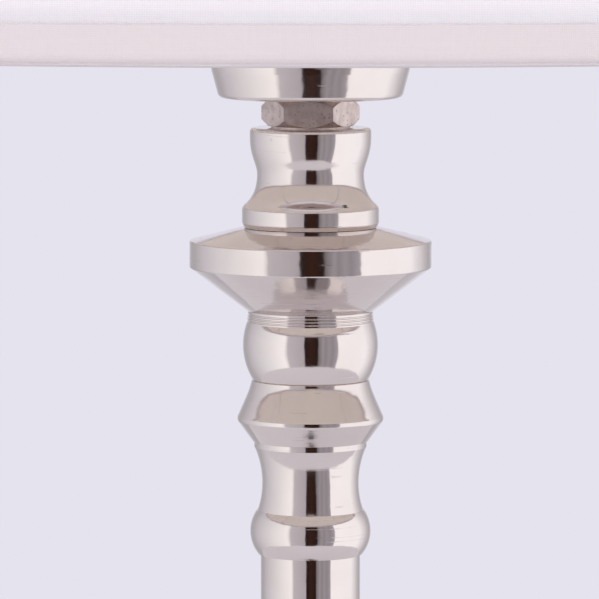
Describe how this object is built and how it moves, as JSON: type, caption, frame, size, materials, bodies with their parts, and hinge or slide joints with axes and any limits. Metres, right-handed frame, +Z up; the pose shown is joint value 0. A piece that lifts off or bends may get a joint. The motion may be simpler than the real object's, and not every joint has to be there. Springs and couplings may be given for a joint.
{
  "type": "candlestick table lamp",
  "caption": "Candlestick table lamp: round weighted foot, slim column of turned nickel beads and a drip pan, screw-base lampholder, candle bulb and tapered fabric shade.",
  "frame": {"origin": "on the surface that the lamp stands on, under the middle of its round foot", "axes": "+Z up along the column, -Y towards the front, +Y towards the back where the lead enters the foot"},
  "size_m": [0.4009, 0.401, 0.6537],
  "materials": {
    "polished_nickel": "polished nickel plate, warm grey, with fine turning lines",
    "dull_steel": "unpolished plated steel, dull and speckled",
    "cast_weight": "as cast, painted black",
    "felt": "dark felt",
    "bush_plastic": "moulded, satin",
    "holder_ceramic": "unglazed steatite",
    "contact_brass": "bright stamped brass",
    "lead_sheath": "flexible insulated lead",
    "switch_plastic": "moulded, gloss",
    "bulb_metal": "rolled bulb cap",
    "bulb_insulator": "black glassy insulator",
    "bulb_glass": "clear thin glass",
    "filament": "coated filament strips",
    "shade_wire": "white coated wire",
    "shade_fabric": "white fine-weave fabric on a stiff liner"
  },
  "bodies": {
    "stand": {"felt_pad": "felt", "base_foot": "polished_nickel", "base_weight": "cast_weight", "cord_bushing": "bush_plastic", "foot_nut": "dull_steel", "foot_washer": "dull_steel", "through_rod": "dull_steel", "lower_double_cone": "polished_nickel", "lower_neck": "polished_nickel", "lower_ring": "polished_nickel", "column_tube": "polished_nickel", "upper_ring": "polished_nickel", "upper_neck": "polished_nickel", "upper_double_cone": "polished_nickel", "ball_bead": "polished_nickel", "drip_pan": "polished_nickel", "candle_cup": "polished_nickel", "nut_washer": "dull_steel", "lock_nut": "dull_steel", "holder_cap": "polished_nickel", "grub_screw": "dull_steel", "holder_core": "holder_ceramic", "terminal_posts": "contact_brass", "terminal_screws": "contact_brass", "centre_contact": "contact_brass", "screw_shell": "contact_brass", "holder_mantle": "polished_nickel", "inner_lead": "lead_sheath", "holder_wires": "lead_sheath", "lower_shade_ring": "polished_nickel"},
    "switch": {"switch_bar": "polished_nickel", "switch_buttons": "switch_plastic", "switch_bridge": "contact_brass"},
    "bulb_tip": {"bulb_tip": "bulb_metal"},
    "bulb": {"bulb_nose": "bulb_insulator", "bulb_cap": "bulb_metal", "bulb_glass": "bulb_glass", "bulb_stem": "bulb_glass", "bulb_filaments": "filament"},
    "shade_fitter": {"fitter_ring": "shade_wire"},
    "shade": {"shade_arms": "shade_wire", "shade_bottom_wire": "shade_wire", "shade_top_wire": "shade_wire", "shade_cover": "shade_fabric", "shade_bottom_hem": "shade_fabric", "shade_top_hem": "shade_fabric"},
    "clamp_ring": {"upper_shade_ring": "polished_nickel"}
  },
  "joints": [
    {"name": "switch_push", "type": "slide", "parent": "stand", "child": "switch", "axis": [-1, 0, 0], "range_m": [0, 0.006]},
    {"name": "bulb_rise", "type": "slide", "parent": "stand", "child": "bulb_tip", "axis": [0, 0, 1], "range_m": [0, 0.01452]},
    {"name": "bulb_turn", "type": "hinge", "parent": "bulb_tip", "child": "bulb", "pos_m": [0, 0, 0.4343], "axis": [0, 0, 1], "range_deg": [0, 1440]},
    {"name": "shade_lift", "type": "slide", "parent": "stand", "child": "shade_fitter", "axis": [0, 0, 1], "range_m": [0, 0.12]},
    {"name": "shade_turn", "type": "hinge", "parent": "shade_fitter", "child": "shade", "pos_m": [0, 0, 0.4365], "axis": [0, 0, 1], "continuous": true},
    {"name": "ring_lift", "type": "slide", "parent": "shade_fitter", "child": "clamp_ring", "axis": [0, 0, 1], "range_m": [0, 0.0135]}
  ],
  "couplings": [
    {"joint": "bulb_rise", "follows": "bulb_turn", "m_per_rad": 0.0005775}
  ]
}
